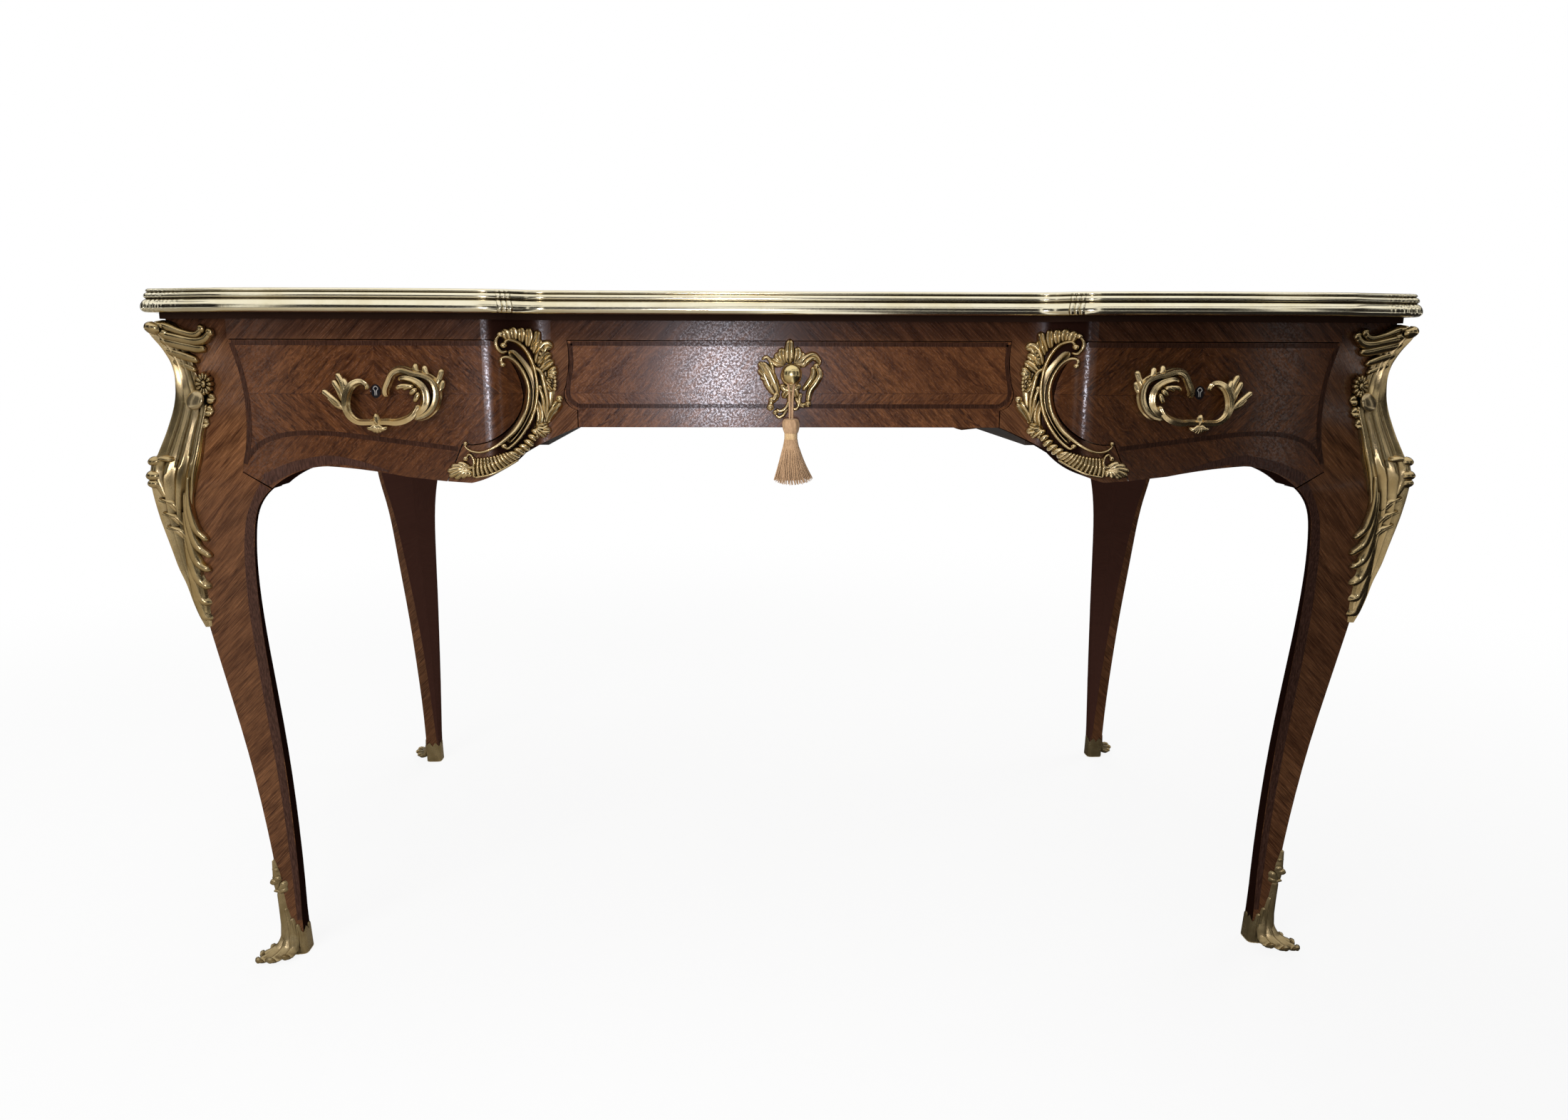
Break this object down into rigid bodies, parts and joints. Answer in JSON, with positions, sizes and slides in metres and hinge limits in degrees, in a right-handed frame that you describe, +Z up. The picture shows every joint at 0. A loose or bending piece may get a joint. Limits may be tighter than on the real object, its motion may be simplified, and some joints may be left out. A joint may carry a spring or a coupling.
{
  "type": "writing desk",
  "caption": "Flat-topped writing desk with frieze drawers on curved legs, in patterned red-brown veneer with a brass edge, gilt scroll mounts and a tasselled key.",
  "frame": {"origin": "on the floor under the middle of the top", "axes": "+Z up, -Y towards the front with the drawers, +X to the right of someone sitting at the front"},
  "size_m": [1.352, 0.824, 0.78],
  "materials": {
    "veneer": "french polished, figured",
    "carcase": "plain planed oak",
    "leather": "waxed, gold tooled",
    "edge_brass": "polished",
    "gilt_mount": "satin with dark recesses",
    "key_brass": "polished",
    "ironwork": "dull",
    "silk": "twisted silk"
  },
  "bodies": {
    "desk": {"top_board": "carcase", "top_crossband": "veneer", "leather_panel": "leather", "top_edge_front": "edge_brass", "top_edge_back": "edge_brass", "top_edge_left": "edge_brass", "top_edge_right": "edge_brass", "top_edge_corners": "edge_brass", "top_break_clasps": "edge_brass", "leg_front_left": "veneer", "leg_front_right": "veneer", "leg_back_left": "veneer", "leg_back_right": "veneer", "corner_mounts": "gilt_mount", "foot_shoes": "gilt_mount", "front_top_rail": "veneer", "stile_left": "veneer", "stile_right": "veneer", "scroll_mounts": "gilt_mount", "back_frieze": "veneer", "side_frieze_left": "veneer", "side_frieze_right": "veneer", "partition_left": "carcase", "partition_right": "carcase", "drawer_runners": "carcase", "drawer_guides": "carcase", "drawer_kickers": "carcase", "drawer_stops": "carcase", "glue_blocks": "carcase", "top_screws": "ironwork"},
    "left_drawer": {"left_drawer_front": "veneer", "left_drawer_sides": "carcase", "left_drawer_back": "carcase", "left_drawer_bottom": "carcase", "left_drawer_lock": "ironwork", "left_drawer_keyhole": "ironwork", "left_drawer_handle": "gilt_mount", "left_drawer_handle_studs": "ironwork"},
    "centre_drawer": {"centre_drawer_front": "veneer", "centre_drawer_sides": "carcase", "centre_drawer_back": "carcase", "centre_drawer_bottom": "carcase", "centre_drawer_lock": "ironwork", "keyhole_plate": "gilt_mount"},
    "right_drawer": {"right_drawer_front": "veneer", "right_drawer_sides": "carcase", "right_drawer_back": "carcase", "right_drawer_bottom": "carcase", "right_drawer_lock": "ironwork", "right_drawer_keyhole": "ironwork", "right_drawer_handle": "gilt_mount", "right_drawer_handle_studs": "ironwork"},
    "left_bolt": {"left_drawer_lock_bolt": "ironwork"},
    "centre_bolt": {"centre_drawer_lock_bolt": "ironwork"},
    "right_bolt": {"right_drawer_lock_bolt": "ironwork"},
    "key": {"key": "key_brass"},
    "tassel": {"tassel_cord": "silk", "tassel_head": "silk", "tassel_skirt": "silk"}
  },
  "joints": [
    {"name": "left_drawer_slide", "type": "slide", "parent": "desk", "child": "left_drawer", "axis": [0, -1, 0], "range_m": [0, 0.38]},
    {"name": "centre_drawer_slide", "type": "slide", "parent": "desk", "child": "centre_drawer", "axis": [0, -1, 0], "range_m": [0, 0.38]},
    {"name": "right_drawer_slide", "type": "slide", "parent": "desk", "child": "right_drawer", "axis": [0, -1, 0], "range_m": [0, 0.38]},
    {"name": "left_bolt_slide", "type": "slide", "parent": "left_drawer", "child": "left_bolt", "axis": [0, 0, 1], "range_m": [0, 0.008]},
    {"name": "centre_bolt_slide", "type": "slide", "parent": "centre_drawer", "child": "centre_bolt", "axis": [0, 0, 1], "range_m": [0, 0.0085]},
    {"name": "right_bolt_slide", "type": "slide", "parent": "right_drawer", "child": "right_bolt", "axis": [0, 0, 1], "range_m": [0, 0.008]},
    {"name": "key_turn", "type": "hinge", "parent": "centre_drawer", "child": "key", "pos_m": [0, -0.358, 0.696], "axis": [0, 1, 0], "range_deg": [0, 90]},
    {"name": "tassel_swing", "type": "hinge", "parent": "centre_drawer", "child": "tassel", "pos_m": [0, -0.3802, 0.696], "axis": [0, 1, 0], "range_deg": [-20, 20]}
  ],
  "couplings": [
    {"joint": "centre_bolt_slide", "follows": "key_turn", "m_per_rad": 0.0045837}
  ]
}
